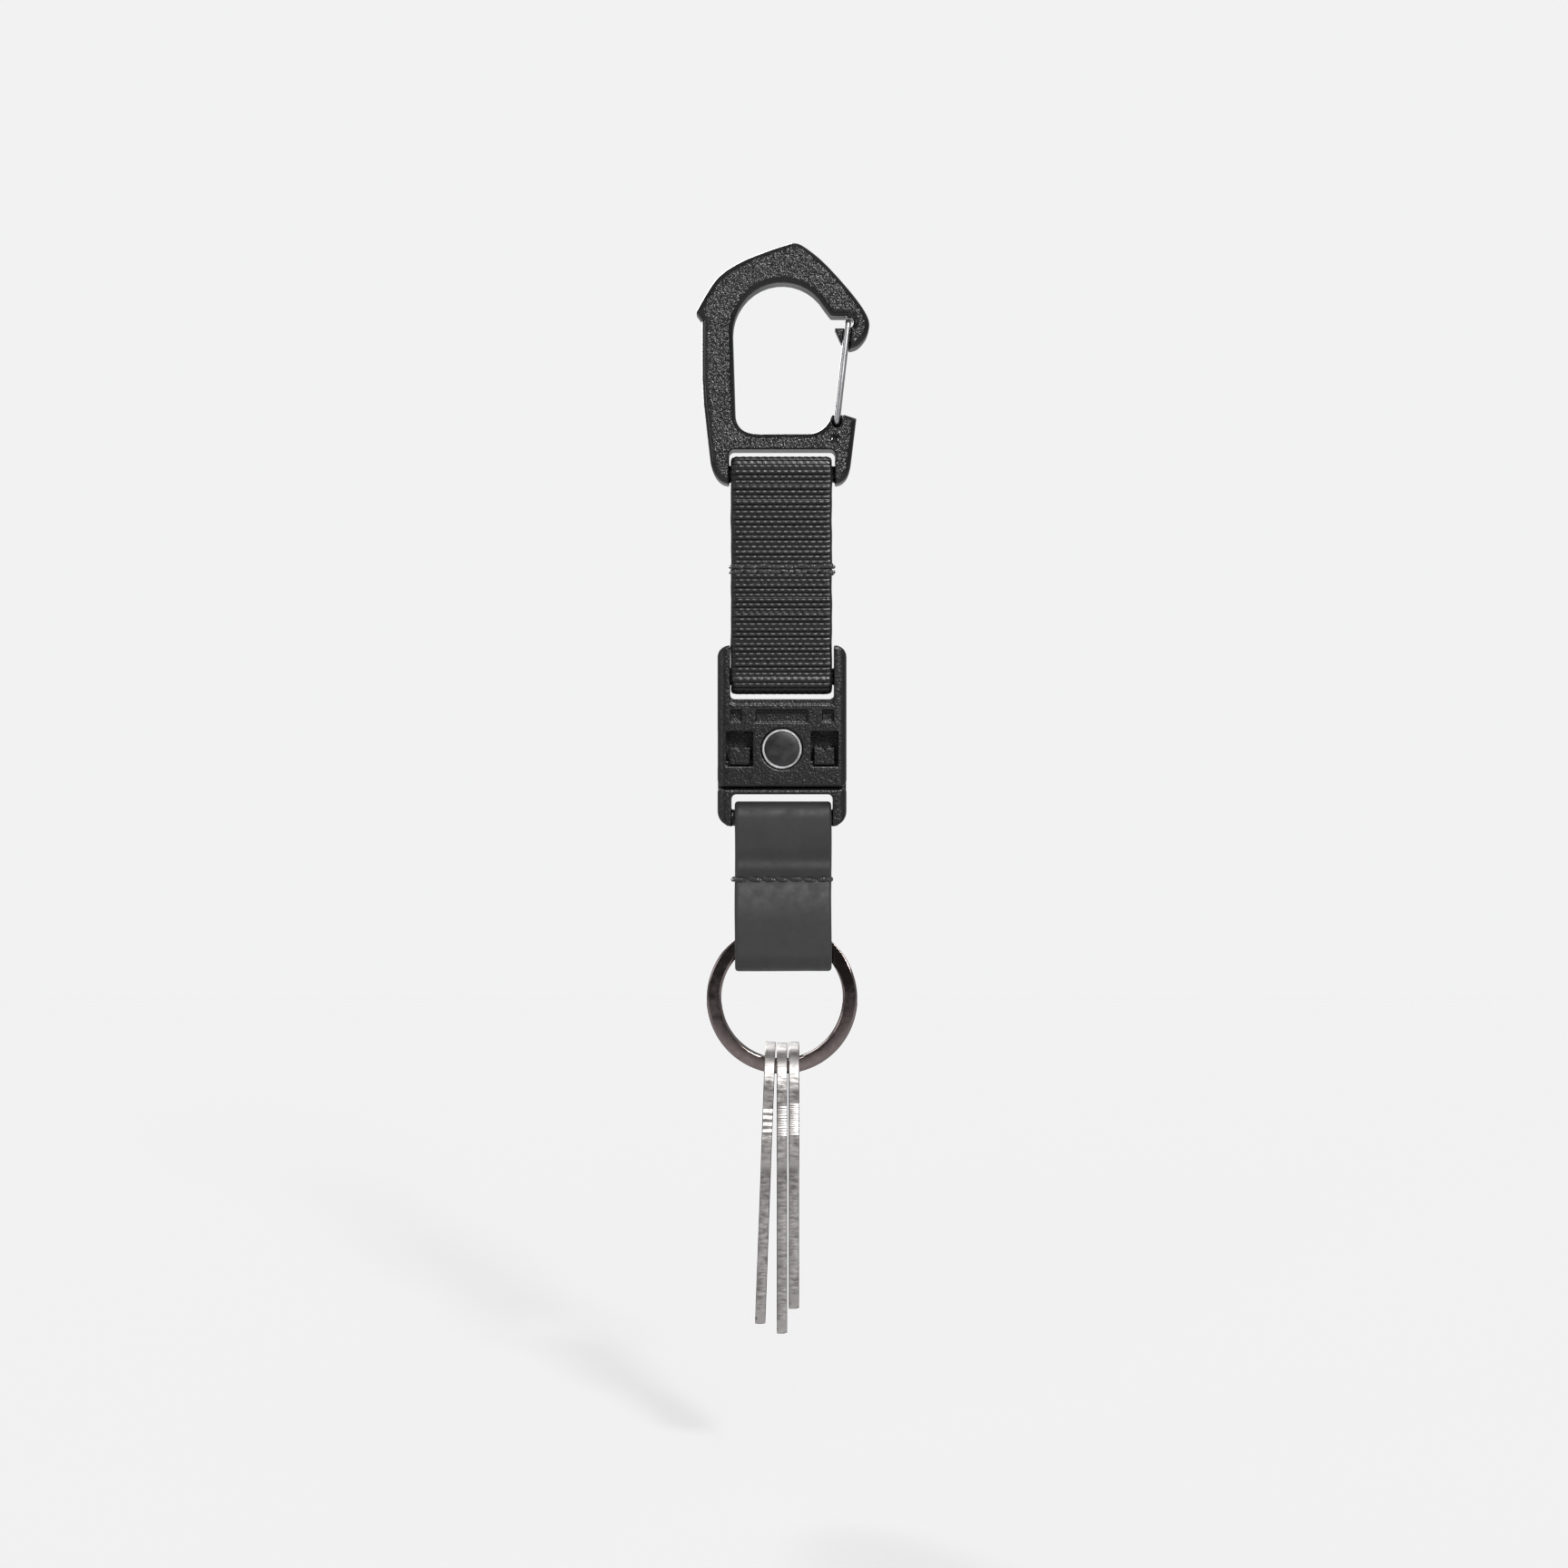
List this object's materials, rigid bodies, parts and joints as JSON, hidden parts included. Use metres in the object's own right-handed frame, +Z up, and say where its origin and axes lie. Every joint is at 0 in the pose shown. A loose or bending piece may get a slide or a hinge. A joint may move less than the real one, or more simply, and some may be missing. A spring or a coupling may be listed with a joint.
{
  "type": "key organiser",
  "caption": "Slim hanging key organiser: flat carabiner with wire gate, webbing loop, magnetic slide buckle, strap, split ring and keys.",
  "frame": {"origin": "highest point of the inside of the carabiner's crook, where the hook or belt loop that carries the object touches", "axes": "+Z up along the hanging chain, +X to the right seen from the front, front faces -Y"},
  "size_m": [0.035, 0.0244, 0.22],
  "materials": {
    "carabiner_polymer": "fine grained black glass-filled polymer",
    "steel_wire": "drawn stainless spring wire",
    "black_webbing": "ribbed nylon webbing",
    "black_thread": "bonded sewing thread",
    "buckle_polymer": "satin moulded black polymer",
    "magnet_cup_steel": "bright turned steel rim",
    "magnet_black": "dark coated magnet",
    "magnet_plated": "nickel plated magnet",
    "coated_strap": "matt coated dark grey strap",
    "ring_gunmetal": "polished gunmetal",
    "key_nickel": "nickel silver, worn"
  },
  "bodies": {
    "carabiner": {"carabiner_body": "carabiner_polymer"},
    "gate": {"wire_gate": "steel_wire"},
    "webbing": {"webbing_loop": "black_webbing", "webbing_stitch": "black_thread"},
    "buckle_upper": {"buckle_upper_body": "buckle_polymer", "buckle_upper_magnet_cup": "magnet_cup_steel", "buckle_upper_magnet": "magnet_black"},
    "buckle_lower": {"buckle_lower_body": "buckle_polymer", "buckle_lower_magnet": "magnet_plated"},
    "strap": {"strap_loop": "coated_strap", "strap_stitch": "black_thread"},
    "ring": {"split_ring": "ring_gunmetal"},
    "key_left": {"key_left": "key_nickel"},
    "key_middle": {"key_middle": "key_nickel"},
    "key_right": {"key_right": "key_nickel"}
  },
  "joints": [
    {"name": "gate_hinge", "type": "hinge", "parent": "carabiner", "child": "gate", "pos_m": [0.011, 0, -0.0283], "axis": [0, -1, 0], "range_deg": [0, 24], "stiffness_Nm_per_rad": 0.05},
    {"name": "webbing_swing", "type": "hinge", "parent": "carabiner", "child": "webbing", "pos_m": [0, 0, -0.0383], "axis": [1, 0, 0], "range_deg": [-100, 100]},
    {"name": "buckle_swing", "type": "hinge", "parent": "webbing", "child": "buckle_upper", "pos_m": [0, 0, -0.0792], "axis": [-1, 0, 0], "range_deg": [-100, 100]},
    {"name": "buckle_slide", "type": "slide", "parent": "buckle_upper", "child": "buckle_lower", "axis": [-1, 0, 0], "range_m": [0, 0.026], "stiffness_N_per_m": 50},
    {"name": "strap_swing", "type": "hinge", "parent": "buckle_lower", "child": "strap", "pos_m": [0, 0, -0.1077], "axis": [1, 0, 0], "range_deg": [-100, 100]},
    {"name": "ring_turn", "type": "hinge", "parent": "strap", "child": "ring", "pos_m": [0, 0, -0.14415], "axis": [0, 1, 0], "range_deg": [-60, 60]},
    {"name": "key_left_swing", "type": "hinge", "parent": "ring", "child": "key_left", "pos_m": [-0.0025, 0, -0.15767], "axis": [-1, 0, 0], "range_deg": [-100, 100]},
    {"name": "key_middle_swing", "type": "hinge", "parent": "ring", "child": "key_middle", "pos_m": [0, 0, -0.1579], "axis": [-1, 0, 0], "range_deg": [-100, 100]},
    {"name": "key_right_swing", "type": "hinge", "parent": "ring", "child": "key_right", "pos_m": [0.0024, 0, -0.15769], "axis": [-1, 0, 0], "range_deg": [-100, 100]}
  ]
}
